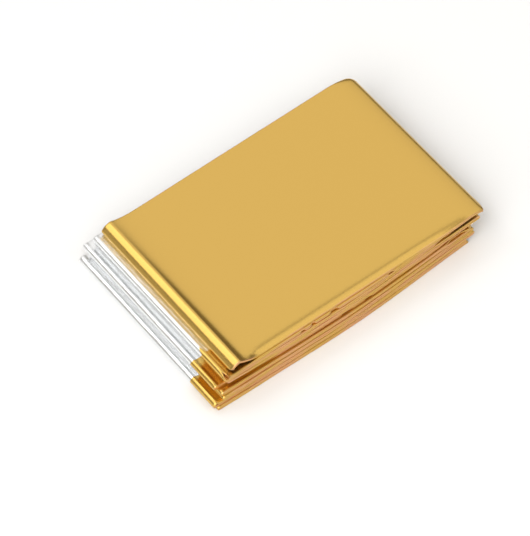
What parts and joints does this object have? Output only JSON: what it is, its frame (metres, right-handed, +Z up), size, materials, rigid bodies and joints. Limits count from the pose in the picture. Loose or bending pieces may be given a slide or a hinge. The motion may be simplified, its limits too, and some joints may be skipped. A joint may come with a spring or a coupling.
{
  "type": "folded emergency foil blanket",
  "caption": "Emergency foil blanket of thin metallised film, gold on one face and silver on the other, pleated and folded back and forth to a flat packet.",
  "frame": {"origin": "On the surface that the packet lies on, below the middle of its box.", "axes": "+X runs along the packet's long side, with the loose folds at the -X end. +Y runs across it to the far side. +Z is up, towards the top panel."},
  "size_m": [0.1454, 0.0988, 0.0208],
  "materials": {
    "film": "satin"
  },
  "bodies": {
    "root": {"folded_blanket": "film"}
  },
  "joints": []
}
